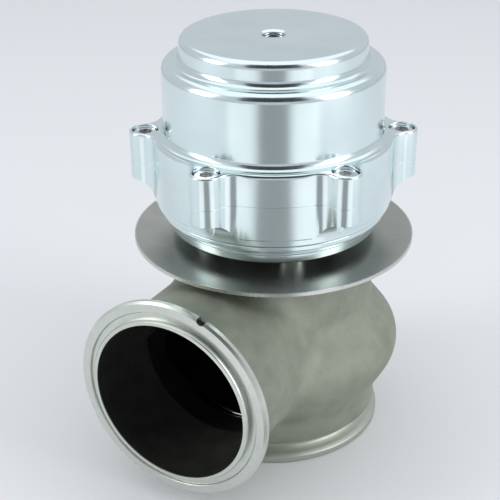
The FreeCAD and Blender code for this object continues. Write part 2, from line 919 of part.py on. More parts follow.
def socket_screws(name, circle, seat, length, count, turn=0):
    """Socket-head screws round the axis: the first stands on +Y, and the set is then turned by an angle."""
    body = new_body(name)
    head_top = seat + d.screw_head_height
    centre = circle
    shank = turned(
        body,
        name + "_shank",
        [
            (centre, seat - length),
            (centre + d.screw_radius - 0.5, seat - length),
            (centre + d.screw_radius, seat - length + 0.5),
            (centre + d.screw_radius, seat),
            (centre + d.screw_head_radius, seat),
            (centre + d.screw_head_radius, head_top - 0.5),
            (centre + d.screw_head_radius - 0.5, head_top),
            (centre, head_top),
        ],
        plane="YZ",
        axis=((centre, seat), (centre, head_top)),
    )
    corner = d.screw_socket_flats / math.sqrt(3)
    hexagon = [
        (corner * math.cos(math.radians(60 * i)) + 0, centre + corner * math.sin(math.radians(60 * i)))
        for i in range(6)
    ]
    socket = pocketed(
        body, name + "_socket", lambda s: add_outline(s, hexagon), head_top, d.screw_socket_depth
    )
    around_axis(body, name + "_all", [shank, socket], count)
    body.Placement = FreeCAD.Placement(Vector(), FreeCAD.Rotation(Vector(0, 0, 1), turn))
    return body


def cap_screws():
    return socket_screws("cap_screws", d.ear_circle, cap_screw_seat, d.cap_screw_length, d.ear_count)


def housing_screws():
    return socket_screws(
        "housing_screws",
        d.housing_screw_circle,
        housing_screw_seat,
        d.housing_screw_length,
        d.housing_screw_count,
        turn=45,
    )


# ---------------------------------------------------------------- diaphragm and what it carries
def diaphragm():
    """The membrane at rest: a rim in the housing's recess, a cone down to the middle, and the clamped middle."""
    body = new_body("diaphragm")
    rim_bottom = parting - d.diaphragm_thickness
    bend = d.cap_bore - 0.8
    middle = d.cup_radius + 0.4
    turned(
        body,
        "membrane",
        [
            (d.stem_thread_radius + d.fit_clearance, membrane_bottom),
            (middle, membrane_bottom, 2.5),
            (bend, rim_bottom, 2.0),
            (d.diaphragm_radius, rim_bottom),
            (d.diaphragm_radius, parting),
            (bend - 0.6, parting, 2.0),
            (middle - 0.6, membrane_top, 2.0),
            (d.stem_thread_radius + d.fit_clearance, membrane_top),
        ],
    )
    return body


def diaphragm_plate():
    hole = d.stem_thread_radius + d.fit_clearance
    return ring("diaphragm_plate", hole, d.plate_radius, plate_bottom, d.plate_thickness, bevel=0.8)


def spring_cup():
    """The cup on the diaphragm that carries the springs; its rim meets the cap's ceiling at full lift."""
    body = new_body("spring_cup")
    rim = ceiling - d.valve_lift - d.stop_clearance
    inside = d.cup_radius - d.cup_wall
    rim_radius = crown_bore - d.cup_rim_gap
    rim_inside = rim_radius - d.cup_rim_wall
    step = membrane_top + d.cup_step_height
    step_top = step + d.cup_step_run
    turned(
        body,
        "cup",
        [
            (d.stem_thread_radius + d.fit_clearance, membrane_top),
            (d.cup_radius - 3.0, membrane_top),
            (d.cup_radius, membrane_top + 3.0),
            (d.cup_radius, step),
            (rim_radius, step_top),
            (rim_radius, rim),
            (rim_inside, rim),
            (rim_inside, step_top - 1.0),
            (inside, step - 1.0),
            (inside, cup_floor_top, 1.5),
            (d.stem_thread_radius + d.fit_clearance, cup_floor_top),
        ],
    )
    return body


def stem_washer():
    hole = d.stem_thread_radius + d.fit_clearance
    return ring("stem_washer", hole, d.washer_radius, cup_floor_top, d.washer_thickness)


def stem_nut():
    """The hexagon nut on the stem's tip, with its top corners turned off."""
    body = new_body("stem_nut")
    corner = d.nut_flats / math.sqrt(3)
    hexagon = [
        (corner * math.cos(math.radians(60 * i)), corner * math.sin(math.radians(60 * i))) for i in range(6)
    ]

    def face(sketch):
        add_outline(sketch, hexagon)
        add_circle(sketch, (0, 0), d.stem_thread_radius + d.fit_clearance)

    padded(body, "hexagon", face, stem_washer_top, d.nut_height)
    turned(
        body,
        "top_chamfer",
        [(d.nut_flats / 2, nut_top), (corner + 1.0, nut_top), (corner + 1.0, nut_top - 1.0)],
        cut=True,
    )
    return body


# ---------------------------------------------------------------- springs
def coil_spring(name, mean_radius, wire_radius, turns):
    """A compression spring between the cup's floor and the cap's ceiling, its wire drawn six-sided."""
    body = new_body(name)
    bottom = cup_floor_top + d.spring_end_gap + wire_radius
    top = ceiling - d.spring_end_gap - wire_radius
    sketch = new_sketch(body, name + "_wire", "XZ")
    spokes = [math.radians(60 * i + 30) for i in range(6)]
    section = [
        (mean_radius + wire_radius * math.cos(angle), bottom + wire_radius * math.sin(angle)) for angle in spokes
    ]
    add_outline(sketch, section)
    coil = body.newObject("PartDesign::AdditiveHelix", name + "_coil")
    coil.Profile = (sketch, [""])
    coil.ReferenceAxis = (sketch, ["V_Axis"])
    coil.Mode = "height-turns-angle"
    coil.Turns = turns
    coil.Height = (top - bottom).number
    coil.setExpression("Height", (top - bottom).text)
    doc.recompute()
    return body


def springs():
    return [
        coil_spring("outer_spring", d.outer_spring_radius, d.outer_spring_wire, 4.5),
        coil_spring("middle_spring", d.middle_spring_radius, d.middle_spring_wire, 5.5),
        coil_spring("inner_spring", d.inner_spring_radius, d.inner_spring_wire, 6.5),
    ]


# ---------------------------------------------------------------- build, test and write
def build_all():
    pieces = [
        valve_body(),
        valve_seat(),
        valve(),
        valve_guide(),
        stem_scraper(),
        heat_shield(),
        housing_standoffs(),
        actuator_housing(),
        stem_bush(),
        stem_seal(),
        seal_retaining_ring(),
        housing_screws(),
        housing_screw_washers(),
        diaphragm(),
        diaphragm_plate(),
        spring_cup(),
        stem_washer(),
        stem_nut(),
        actuator_cap(),
        cap_screws(),
    ]
    return pieces + springs()


def check_document():
    doc.recompute()
    for item in doc.Objects:
        if "Invalid" in item.State or "Error" in item.State:
            raise ValueError(f"{item.Label} did not compute: {item.State}")


def write_pieces(pieces):
    for piece in pieces:
        shape = piece.Shape
        if shape.isNull() or not shape.isValid() or not shape.Solids:
            raise ValueError(f"{piece.Label} has no valid solid")
    os.makedirs("parts", exist_ok=True)
    for piece in pieces:
        piece.Shape.exportStep(f"parts/{piece.Label}.step")


pieces = build_all()
check_document()
write_pieces(pieces)
for piece in pieces:
    box = piece.Shape.BoundBox
    print(f"{piece.Label:24s} solids {len(piece.Shape.Solids)} volume {piece.Shape.Volume:10.0f} z {box.ZMin:.2f} {box.ZMax:.2f}")
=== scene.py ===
import json
import math

import bmesh
import bpy
import numpy as np
from mathutils import Matrix, Vector


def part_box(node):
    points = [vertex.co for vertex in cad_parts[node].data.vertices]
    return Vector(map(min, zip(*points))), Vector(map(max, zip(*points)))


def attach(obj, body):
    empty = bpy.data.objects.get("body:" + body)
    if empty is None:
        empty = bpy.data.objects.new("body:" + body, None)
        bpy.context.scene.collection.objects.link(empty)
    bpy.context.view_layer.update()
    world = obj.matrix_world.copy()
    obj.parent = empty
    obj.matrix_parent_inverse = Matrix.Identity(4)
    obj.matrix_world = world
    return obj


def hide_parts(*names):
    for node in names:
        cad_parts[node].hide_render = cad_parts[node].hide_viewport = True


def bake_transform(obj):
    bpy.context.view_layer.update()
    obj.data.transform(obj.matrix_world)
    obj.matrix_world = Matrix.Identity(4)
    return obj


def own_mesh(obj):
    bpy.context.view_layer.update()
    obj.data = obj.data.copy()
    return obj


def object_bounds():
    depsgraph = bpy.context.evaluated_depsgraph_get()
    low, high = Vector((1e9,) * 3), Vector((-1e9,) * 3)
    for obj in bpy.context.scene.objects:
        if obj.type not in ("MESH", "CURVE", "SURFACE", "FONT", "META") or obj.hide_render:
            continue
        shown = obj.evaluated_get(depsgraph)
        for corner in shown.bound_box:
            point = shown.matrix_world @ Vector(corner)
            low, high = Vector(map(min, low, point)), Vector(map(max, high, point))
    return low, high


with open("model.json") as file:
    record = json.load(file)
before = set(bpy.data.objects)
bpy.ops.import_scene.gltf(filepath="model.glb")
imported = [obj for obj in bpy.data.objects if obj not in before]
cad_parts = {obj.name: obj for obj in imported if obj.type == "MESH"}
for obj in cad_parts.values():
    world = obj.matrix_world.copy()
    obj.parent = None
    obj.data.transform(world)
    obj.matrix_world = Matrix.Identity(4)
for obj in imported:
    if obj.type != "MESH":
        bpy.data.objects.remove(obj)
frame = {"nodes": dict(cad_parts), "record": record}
cad_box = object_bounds()
nodes = frame["nodes"]

# ---------------------------------------------------------------- the table and the studio
# The wastegate stands on its inlet flange on a matt pale table in a pale room, under a wide soft lamp.
# Two upright softboxes stand left and right, and four cards seen only in the metal put streaks in it.
MM = 0.001


class Signal:
    """A shader socket whose arithmetic adds Math nodes, so that masks are written as plain expressions."""

    def __init__(self, tree, socket):
        self.tree, self.socket = tree, socket

    def node(self, kind, settings=None, inputs=None, output=0):
        """Add a node of any kind: settings first, then its inputs' values or links, and give one output."""
        made = self.tree.nodes.new(kind)
        for name, value in (settings or {}).items():
            setattr(made, name, value)
        for name, value in (inputs or {}).items():
            if isinstance(value, Signal):
                self.tree.links.new(value.socket, made.inputs[name])
            else:
                made.inputs[name].default_value = value
        return Signal(self.tree, made.outputs[output])

    def maths(self, operation, *others):
        """A Math node on this value and the others, in that order."""
        return self.node("ShaderNodeMath", {"operation": operation}, dict(enumerate((self, *others))))

    def __add__(self, other):
        return self.maths("ADD", other)

    def __sub__(self, other):
        return self.maths("SUBTRACT", other)

    def __mul__(self, other):
        return self.maths("MULTIPLY", other)

    def __truediv__(self, other):
        return self.maths("DIVIDE", other)

    __radd__ = __add__
    __rmul__ = __mul__

    def __rsub__(self, other):
        return self.node("ShaderNodeMath", {"operation": "SUBTRACT"}, {0: other, 1: self})

    def __rtruediv__(self, other):
        return self.node("ShaderNodeMath", {"operation": "DIVIDE"}, {0: other, 1: self})

    def between(self, low, high):
        """0 at low, 1 at high, straight in between and held outside; low may be above high."""
        inputs = {"Value": self, "From Min": low, "From Max": high}
        return self.node("ShaderNodeMapRange", {"clamp": True}, inputs)

    def colour(self, first, second):
        """The first colour where this is 0 and the second where it is 1, by the Mix node's colour sockets."""
        factor, colour_a, colour_b, result = 0, 6, 7, 2
        inputs = {factor: self, colour_a: first, colour_b: second}
        return self.node("ShaderNodeMix", {"data_type": "RGBA"}, inputs, result)

    def noise(self, scale, detail=2.0):
        """Clouds on this vector, from 0 to 1."""
        return self.node("ShaderNodeTexNoise", None, {"Vector": self, "Scale": scale, "Detail": detail})

    def tool_lines(self, scale, detail=3.0):
        """Uneven lines across the way this value grows, as a lathe tool leaves them, from 0 to 1."""
        inputs = {"W": self, "Scale": scale, "Detail": detail}
        return self.node("ShaderNodeTexNoise", {"noise_dimensions": "1D"}, inputs)

    def stretched(self, x, y, z):
        """The same vector with each axis multiplied, which draws a pattern out along an axis."""
        return self.node("ShaderNodeVectorMath", {"operation": "MULTIPLY"}, {0: self, 1: (x, y, z)})

    def bumped(self, height_mm):
        """A normal from this value as a relief of that height in millimetres."""
        inputs = {"Height": self, "Distance": height_mm * MM, "Strength": 1.0}
        return self.node("ShaderNodeBump", None, inputs)


class Finish:
    """A named procedural material: its shader, and the object coordinates in millimetres."""

    def __init__(self, name, **fixed):
        self.material = bpy.data.materials.new(name)
        self.material.use_nodes = True
        tree = self.material.node_tree
        self.shader = tree.nodes["Principled BSDF"]
        place = Signal(tree, tree.nodes.new("ShaderNodeTexCoord").outputs["Object"])
        self.at = place.stretched(1 / MM, 1 / MM, 1 / MM)
        whole = {0: self.at}
        self.x, self.y, self.z = (self.at.node("ShaderNodeSeparateXYZ", None, whole, i) for i in range(3))
        self.set(**fixed)

    def set(self, **inputs):
        """Set or link the shader's sockets, named with underscores for spaces."""
        for name, value in inputs.items():
            place = self.shader.inputs[name.replace("_", " ")]
            if isinstance(value, Signal):
                value.tree.links.new(value.socket, place)
            else:
                place.default_value = value

    def from_axis(self):
        """Distance from the valve's upright axis, in millimetres."""
        return (self.x * self.x + self.y * self.y).maths("SQRT")

    def give(self, *names):
        """Put this finish on CAD nodes, whose shapes stay as they are."""
        for name in names:
            mesh = nodes[name].data
            mesh.materials.clear()
            mesh.materials.append(self.material)


TABLE_TONE = (0.72, 0.735, 0.75, 1)
TABLE_REACH = 3.0
TABLE_GAP = 0.0003
ROOM_TONE = (0.92, 0.95, 1.0, 1)
ROOM_STRENGTH = 0.70
table_height = cad_box[0][2] - TABLE_GAP
corners = [(x * TABLE_REACH, y * TABLE_REACH, table_height) for x, y in ((-1, -1), (1, -1), (1, 1), (-1, 1))]
table_mesh = bpy.data.meshes.new("table")
table_mesh.from_pydata(corners, [], [(0, 1, 2, 3)])
table_mesh.materials.append(Finish("matt_table", Base_Color=TABLE_TONE, Roughness=0.85).material)
table = bpy.data.objects.new("table", table_mesh)
bpy.context.scene.collection.objects.link(table)

room = bpy.data.worlds.new("pale_room")
bpy.context.scene.world = room
room.use_nodes = True
room.node_tree.nodes["Background"].inputs["Color"].default_value = ROOM_TONE
room.node_tree.nodes["Background"].inputs["Strength"].default_value = ROOM_STRENGTH

PART_MIDDLE = Vector((0, 0, 0.08))
SIDE_BOX = (0.45, 0.8)
OVERHEAD_BOX = (1.6, 1.6)


def softbox(name, place, size, watts):
    """A rectangular lamp of a size (across, up) in metres, at a place, faced at the part's middle."""
    lamp = bpy.data.lights.new(name, "AREA")
    lamp.shape = "RECTANGLE"
    lamp.size, lamp.size_y = size
    lamp.energy = watts
    holder = bpy.data.objects.new(name, lamp)
    bpy.context.scene.collection.objects.link(holder)
    holder.location = place
    holder.rotation_euler = (PART_MIDDLE - Vector(place)).to_track_quat("-Z", "Y").to_euler()


softbox("left_softbox", (-0.80, -0.75, 0.55), SIDE_BOX, watts=4.2)
softbox("right_softbox", (0.95, 0.05, 0.50), SIDE_BOX, watts=4.2)
softbox("overhead_softbox", (-0.05, 0.15, 1.05), OVERHEAD_BOX, watts=4.5)


def card(name, tone, direction, rows):
    """A flat card through rows (distance out, height, half width), out along a direction in degrees."""
    turn = math.radians(direction)
    out, across = (math.cos(turn), math.sin(turn)), (-math.sin(turn), math.cos(turn))
    points = [
        (out[0] * far + across[0] * half * side, out[1] * far + across[1] * half * side, height)
        for far, height, half in rows
        for side in (-1, 1)
    ]
    mesh = bpy.data.meshes.new(name)
    mesh.from_pydata(points, [], [(0, 1, 3, 2)])
    mesh.materials.append(Finish(name, Base_Color=(tone, tone, tone, 1), Roughness=0.9).material)
    made = bpy.data.objects.new(name, mesh)
    bpy.context.scene.collection.objects.link(made)
    for way in ("camera", "diffuse", "shadow", "transmission"):
        setattr(made, f"visible_{way}", False)


# A grey strip lies on the table between two white ones, in front, and a black card leans over the camera.
CAMERA_SIDE = -61
WHITE_APART = 32
WHITE_ROWS = ((0.16, 0.001, 0.036), (0.90, 0.001, 0.200))
card("grey_card", 0.30, CAMERA_SIDE, ((0.13, 0.002, 0.040), (0.90, 0.002, 0.220)))
card("white_card_left", 0.97, CAMERA_SIDE - WHITE_APART, WHITE_ROWS)
card("white_card_right", 0.97, CAMERA_SIDE + WHITE_APART, WHITE_ROWS)
card("black_card", 0.03, CAMERA_SIDE, ((0.72, 0.40, 0.46), (0.35, 1.10, 0.34)))

# The camera stands above the outlet's right-hand side and looks down at the middle, with a slight roll.
CAMERA_PLACE = Vector((0.2192, -0.3987, 0.3112))
CAMERA_AHEAD = Vector((-0.4459, 0.7702, -0.4561)).normalized()
CAMERA_ROLL = math.radians(-0.5375)
LENS = 85.44
level = CAMERA_AHEAD.cross(Vector((0, 0, 1))).normalized()
upright = level.cross(CAMERA_AHEAD)
right = level * math.cos(CAMERA_ROLL) + upright * math.sin(CAMERA_ROLL)
top = upright * math.cos(CAMERA_ROLL) - level * math.sin(CAMERA_ROLL)
camera = bpy.data.objects.new("camera", bpy.data.cameras.new("camera"))
bpy.context.scene.collection.objects.link(camera)
camera.data.lens = LENS
camera.data.clip_start = 0.01
turned = Matrix((right, top, -CAMERA_AHEAD)).transposed().to_4x4()
camera.matrix_world = Matrix.Translation(CAMERA_PLACE) @ turned
bpy.context.scene.camera = camera
bpy.context.scene.view_settings.view_transform = "Standard"


# ---------------------------------------------------------------- cast body
# The body is investment-cast stainless steel, blasted to a satin grey, with its flanges turned bright.
# Exhaust soot and painted shade make the bore and the chamber dark, and painted shade darkens the notch in
# the outlet flange; the outlet's lip and the clamp flanges stay pale.
def edges_of(node):
    """A CAD node's lowest and highest corners, in millimetres."""
    low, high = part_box(node)
    return np.array(low) / MM, np.array(high) / MM


DOUBLED, SLIVER = 1e-7, 1e-8


def settled(piece, sharp=30):
    """Link it, merge doubled points, drop loose edges, face it outwards and mark edges over an angle."""
    if not piece.users_collection:
        bpy.context.scene.collection.objects.link(piece)
    work = bmesh.new()
    work.from_mesh(piece.data)
    bmesh.ops.remove_doubles(work, verts=work.verts, dist=DOUBLED)
    bmesh.ops.dissolve_degenerate(work, edges=work.edges, dist=SLIVER)
    bmesh.ops.delete(work, geom=[edge for edge in work.edges if not edge.link_faces], context="EDGES")
    bmesh.ops.recalc_face_normals(work, faces=work.faces)
    work.to_mesh(piece.data)
    work.free()
    piece.data.polygons.foreach_set("use_smooth", np.ones(len(piece.data.polygons), bool))
    piece.data.set_sharp_from_angle(angle=math.radians(sharp))
    piece.data.update()
    return piece


outlet_bore = next(mount for mount in frame["record"]["mounts"] if mount["name"] == "outlet_bore")
outlet_height, bore_radius = outlet_bore["pos_m"][2] / MM, outlet_bore["dims"]["r_mm"]
lip_end = float(edges_of("valve_body")[0][1])
TUBE_WALL = 2.4
FLANGE_DEPTH = 6.5
INLET_FLANGE_TOP = 8.8
CHAMBER_RADIUS = 41.0
BULGE_HEIGHT, BULGE_OUT = 40.3, 10.5
BULGE_BELOW, BULGE_ABOVE = 24.0, 20.0
BORE_MEETS_CHAMBER = (-15, -20)
NOTCH_PLACE, NOTCH_RADIUS = (14.9, 89.1), 1.7
CAST_TONES = (0.300, 0.324, 0.266, 1), (0.425, 0.450, 0.378, 1)
TURNED_TONES = (0.57, 0.60, 0.55, 1), (0.68, 0.71, 0.66, 1)
# The dark tones are part soot and part painted shade, for the bore, the chamber and the notch.
SOOT_AND_SHADE_TONES = (0.028, 0.030, 0.026, 1), (0.070, 0.073, 0.064, 1)
CAST_SHARP = 20

cast = Finish("cast_stainless", Metallic=1.0)
up = cast.z - outlet_height
from_outlet_axis = (cast.x * cast.x + up * up).maths("SQRT")
above = cast.z - BULGE_HEIGHT
share = above / (above.maths("GREATER_THAN", 0.0) * (BULGE_ABOVE - BULGE_BELOW) + BULGE_BELOW)
belly = (1.0 - share * share).maths("MAXIMUM", 0.0)
in_chamber = (CHAMBER_RADIUS + belly * BULGE_OUT - cast.from_axis()).between(-0.3, 0.3)
in_tube = (bore_radius + 0.6 * TUBE_WALL - from_outlet_axis).between(-0.2, 0.2)
in_bore = in_tube * cast.y.between(*BORE_MEETS_CHAMBER)
lip_face = cast.y.between(lip_end + 0.6, lip_end + 0.2)
inside = (in_bore * (1.0 - lip_face)).maths("MAXIMUM", in_chamber)
outlet_machined = cast.y.between(lip_end + FLANGE_DEPTH + 0.2, lip_end + FLANGE_DEPTH - 0.2)
inlet_machined = cast.z.between(INLET_FLANGE_TOP + 0.1, INLET_FLANGE_TOP - 0.3)
machined = outlet_machined.maths("MAXIMUM", inlet_machined * 0.5) * (1.0 - inside)
# The notch in the outlet flange's face gets the dark tone as painted shade in the cut.
notch_x, notch_z = cast.x - NOTCH_PLACE[0], cast.z - NOTCH_PLACE[1]
from_notch = (notch_x * notch_x + notch_z * notch_z).maths("SQRT")
notch_painted_shade = from_notch.between(NOTCH_RADIUS + 0.2, NOTCH_RADIUS - 0.1) * outlet_machined
cloud, blotch = cast.at.noise(0.045, 3.0), cast.at.noise(0.16, 4.0)
grain, fine = cast.at.noise(2.6, 2.0), cast.at.noise(9.0, 1.0)
mottle = cloud * 0.4 + blotch * 0.35 + grain * 0.25
turned_tone = cast.at.noise(0.3, 2.0).colour(*TURNED_TONES)
outside_tone = machined.colour(mottle.between(0.36, 0.66).colour(*CAST_TONES), turned_tone)
# Soot darkens the bore and the chamber, and this tone is dark enough to also paint the shade that falls
# inside them.
soot_and_shade_tone = cast.at.noise(0.12, 3.0).colour(*SOOT_AND_SHADE_TONES)
lathe_lines = (from_outlet_axis * 1.3 + cast.z * 0.4).tool_lines(6.0, 2.0)
blasted = cast.at.noise(0.8, 3.0) * 0.5 + grain * 0.35 + fine * 0.15
relief = (1.0 - machined) * blasted + machined * lathe_lines * 0.02
cast.set(
    Base_Color=inside.maths("MAXIMUM", notch_painted_shade).colour(outside_tone, soot_and_shade_tone),
    Roughness=0.70 - machined * 0.38 + inside * 0.10 + (blotch - 0.5) * 0.10,
    Normal=relief.bumped(0.05),
)
casting = bpy.data.objects.new("casting", nodes["valve_body"].data.copy())
settled(casting, CAST_SHARP)
casting.data.materials.clear()
casting.data.materials.append(cast.material)
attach(casting, "gate")
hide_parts("valve_body")


# ---------------------------------------------------------------- valve, seat and guide
# The poppet and its seat ring are turned from heat-resistant steel, ground bright on the sealing cone.
# The stem runs in a pressed bronze guide, under a thin steel scraper ring.
def rounded(corners, step=math.radians(8)):
    """A profile through corners (r, z) or (r, z, radius): a round is an arc tangent to both its sides."""
    stretches = []
    for i, corner in enumerate(corners):
        here = np.array(corner[:2], float)
        if len(corner) < 3:
            stretches.append(here[None])
            continue
        before, after = (np.array(corners[j % len(corners)][:2], float) - here for j in (i - 1, i + 1))
        before, after = before / np.linalg.norm(before), after / np.linalg.norm(after)
        half = math.acos(np.clip(before @ after, -1, 1)) / 2
        centre = here + (before + after) / np.linalg.norm(before + after) * corner[2] / math.sin(half)
        start, end = (here + side * corner[2] / math.tan(half) - centre for side in (before, after))
        swing = math.atan2(start[0] * end[1] - start[1] * end[0], start @ end)
        turns = np.linspace(0, swing, max(3, int(abs(swing) / step) + 2))[:, None]
        stretches.append(centre + start * np.cos(turns) + np.array([-start[1], start[0]]) * np.sin(turns))
    return np.concatenate(stretches)


def grid_piece(name, points, sharp=30, ends_meet=True):
    """A closed surface on a grid of points (around, along, xyz) in millimetres, its ends joined or not."""
    around, along = points.shape[:2]
    index = np.arange(around * along).reshape(around, along)
    ahead, up = np.roll(index, -1, 0), np.roll(index, -1, 1)
    quads = np.stack([index, ahead, np.roll(ahead, -1, 1), up], -1)
    quads = (quads if ends_meet else quads[:, :-1]).reshape(-1, 4)
    mesh = bpy.data.meshes.new(name)
    mesh.from_pydata((points.reshape(-1, 3) * MM).tolist(), [], quads.tolist())
    return settled(bpy.data.objects.new(name, mesh), sharp)


def lathe(profile, spokes, centre=(0, 0)):
    """A profile (r, z) turned about an upright axis: (r cos a, r sin a, z) for each angle a."""
    turn = np.linspace(0, 2 * np.pi, spokes, endpoint=False)[:, None]
    r, z = profile[None, :, 0], profile[None, :, 1]
    return np.stack([centre[0] + r * np.cos(turn), centre[1] + r * np.sin(turn), z + 0 * turn], -1)


steel = Finish("turned_stainless", Metallic=1.0)
rings = (steel.from_axis() + steel.z * 0.9).tool_lines(5.0)
steel.set(
    Base_Color=rings.between(0.3, 0.7).colour((0.80, 0.80, 0.77, 1), (0.93, 0.93, 0.90, 1)),
    Roughness=0.08 + rings * 0.10,
    Normal=rings.bumped(0.006),
)
steel.give("housing_standoffs", "stem_scraper")

valve_low, valve_high = edges_of("valve")
margin, deck = float(valve_low[2]) + 1.3, float(valve_low[2]) + 3.75
plate_under, stem_end = float(edges_of("diaphragm_plate")[0][2]), float(valve_high[2])
seat_top = edges_of("valve_seat")[1][2]
HEAD = 34.6
STEM = 5.0
TIP = 4.0
TIP_LENGTH = 10.0
TIP_GROOVE, TIP_STEP, TIP_POINTS = 0.5, 0.6, 16
SEAT_BORE, SEAT_NECK, SEAT_RIM = 33.0, 37.5, 40.0
stem_thread = [(TIP - TIP_GROOVE * (i % 2), stem_end - TIP_LENGTH + TIP_STEP * i) for i in range(TIP_POINTS)]
poppet_profile = rounded(
    [
        (0, margin - 0.3),
        (22.6, margin - 0.3),
        (24.6, margin - 1.3, 1.0),
        (33.3, margin - 1.3, 0.2),
        (HEAD, margin, 0.2),
        (HEAD, deck, 1.6),
        (13.0, deck + 1.0, 6.0),
        (STEM, deck + 5.0, 8.0),
        (STEM, plate_under),
        (TIP, plate_under),
        *stem_thread,
        (3.4, stem_end),
        (0, stem_end),
    ]
)
seat_profile = rounded(
    [
        (SEAT_BORE, 0.2),
        (SEAT_BORE + 0.2, 0),
        (SEAT_RIM, 0, 0.3),
        (SEAT_RIM, 4.0, 0.3),
        (SEAT_NECK, 4.0, 0.2),
        (SEAT_NECK, seat_top, 0.6),
        (35.0, seat_top, 0.4),
        (SEAT_BORE, seat_top - 2.0, 0.3),
    ]
)
for name, profile, body, node in (
    ("poppet", poppet_profile, "valve_train", "valve"),
    ("seat_ring", seat_profile, "gate", "valve_seat"),
):
    piece = grid_piece(name, lathe(profile, spokes=144))
    piece.data.materials.append(steel.material)
    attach(piece, body)
    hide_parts(node)

bronze = Finish("guide_bronze", Metallic=1.0)
bronze_rings = (bronze.z + bronze.from_axis()).tool_lines(4.0)
bronze.set(
    Base_Color=bronze_rings.between(0.3, 0.7).colour((0.47, 0.31, 0.14, 1), (0.62, 0.44, 0.21, 1)),
    Roughness=0.26 + bronze_rings * 0.14,
    Normal=bronze_rings.bumped(0.006),
)
bronze.give("valve_guide", "stem_bush")

# ---------------------------------------------------------------- heat shield
# A flat disc of stainless sheet, left as rolled and dulled by heat, which stands between body and actuator.
# Its grain runs one way, its rim is sheared bright and painted brighter still as an edge highlight, and four
# spacers hold the housing off it.
shield = Finish("shield_sheet", Metallic=1.0)
shield_edge = float(edges_of("heat_shield")[1][0])
# The outer rim is painted bright: partly bright sheared metal, partly a painted edge highlight.
rim = shield.from_axis().between(shield_edge - 0.6, shield_edge - 0.4)
rolled = shield.at.stretched(0.05, 1.6, 1.0).noise(1.4, 3.0)
stain = shield.at.noise(0.035, 3.0)
sheet_mottle = (rolled * 0.35 + stain * 0.65).between(0.36, 0.66)
sheet_tone = sheet_mottle.colour((0.35, 0.36, 0.33, 1), (0.46, 0.47, 0.44, 1))
shield.set(
    Base_Color=rim.colour(sheet_tone, (0.62, 0.62, 0.60, 1)),
    Roughness=0.27 + rolled * 0.12 - rim * 0.05,
    Normal=(rolled * (1.0 - rim)).bumped(0.006),
)
shield.give("heat_shield")

# ---------------------------------------------------------------- actuator housing
# The housing is a bowl turned from bright aluminium bar, then milled round its six screw ears.
# It stands on four spacers by a narrow foot, with a bead and a step turned above the foot.
WALL_RADIUS = 49.5
EAR_CIRCLE = 52.5
EAR_RADIUS = 6.5
EAR_BLEND = 7.0
EAR_COUNT = 6
EAR_FIRST, EAR_STEP = 30, 60


def rotated(points, turn):
    """Plane points turned about the origin by an angle."""
    c, s = math.cos(turn), math.sin(turn)
    return points @ np.array([[c, s], [-s, c]])


def eared_outline():
    """Per ear: its arc, a concave arc down to the wall, the wall's arc, a concave arc up to the next ear."""
    to_blend, span = WALL_RADIUS + EAR_BLEND, EAR_RADIUS + EAR_BLEND
    blend_out = (to_blend**2 - span**2 + EAR_CIRCLE**2) / (2 * EAR_CIRCLE)
    blend_side = math.sqrt(to_blend**2 - blend_out**2)
    wall_turn = math.atan2(blend_side, blend_out)
    ear_turn = math.atan2(blend_side, blend_out - EAR_CIRCLE)
    next_ear = math.radians(EAR_STEP)
    down = np.linspace(ear_turn - np.pi, wall_turn - np.pi, 14)[1:]
    back = np.linspace(np.pi - wall_turn, np.pi - ear_turn, 14)[:-1]
    arcs = (
        ((EAR_CIRCLE, 0), EAR_RADIUS, np.linspace(-ear_turn, ear_turn, 33), 1, 0),
        ((blend_out, blend_side), EAR_BLEND, down, -1, 0),
        ((0, 0), WALL_RADIUS, np.linspace(wall_turn, next_ear - wall_turn, 20)[1:-1], 1, 0),
        ((blend_out, -blend_side), EAR_BLEND, back, -1, next_ear),
    )
    points, normals = [], []
    for k in range(EAR_COUNT):
        for centre, size, turns, sense, ahead in arcs:
            place = math.radians(EAR_FIRST + EAR_STEP * k) + ahead
            along = np.stack([np.cos(turns), np.sin(turns)], -1)
            points.append(rotated(np.array(centre) + size * along, place))
            normals.append(rotated(sense * along, place))
    return np.concatenate(points), np.concatenate(normals)


outline, outward = eared_outline()
toward = outline / np.linalg.norm(outline, axis=1)[:, None]


def eared(steps):
    """Carry steps (share, size, z) round the ears: 0 is a circle of that size, 1 the outline inset by it."""
    layers = []
    for share, size, z in steps:
        size = np.broadcast_to(size, len(outline))[:, None]
        plane = toward * size if share == 0 else outline - outward * size
        layers.append(np.column_stack([plane, np.broadcast_to(z, len(plane))]))
    return np.stack(layers, 1)


def circles(profile):
    """Steps for the points (r, z) of a turned profile: each is a circle of radius r at height z."""
    return [(0, r, z) for r, z in profile]


def cut(piece, *cutters):
    """Take the cutters' solids away from the piece, for good, and remove the cutters."""
    for cutter in cutters:
        taking = piece.modifiers.new("cut", "BOOLEAN")
        taking.operation, taking.solver, taking.object = "DIFFERENCE", "EXACT", cutter
        bpy.context.view_layer.update()
        fresh = bpy.data.meshes.new_from_object(piece.evaluated_get(bpy.context.evaluated_depsgraph_get()))
        piece.modifiers.clear()
        piece.data = fresh
        bpy.data.objects.remove(cutter)
    return settled(piece)


def round_holes(name, places, profile, spokes=48):
    """One cutter made of the same turned plug at several places (x, y)."""
    made = [grid_piece(f"{name}_{i}", lathe(profile, spokes, place)) for i, place in enumerate(places)]
    for other in made[1:]:
        joined = bmesh.new()
        joined.from_mesh(made[0].data)
        joined.from_mesh(other.data)
        joined.to_mesh(made[0].data)
        joined.free()
        bpy.data.objects.remove(other)
    return made[0]


def around(circle, count, first):
    """Places (x, y) evenly round a circle, from a first angle in degrees."""
    turns = np.radians(first + 360 / count * np.arange(count))
    return np.column_stack([circle * np.cos(turns), circle * np.sin(turns)]).tolist()


def pin(radius, bottom, top):
    """The profile of a plain round plug between two heights."""
    return np.array([(0, bottom), (radius, bottom), (radius, top), (0, top)], float)


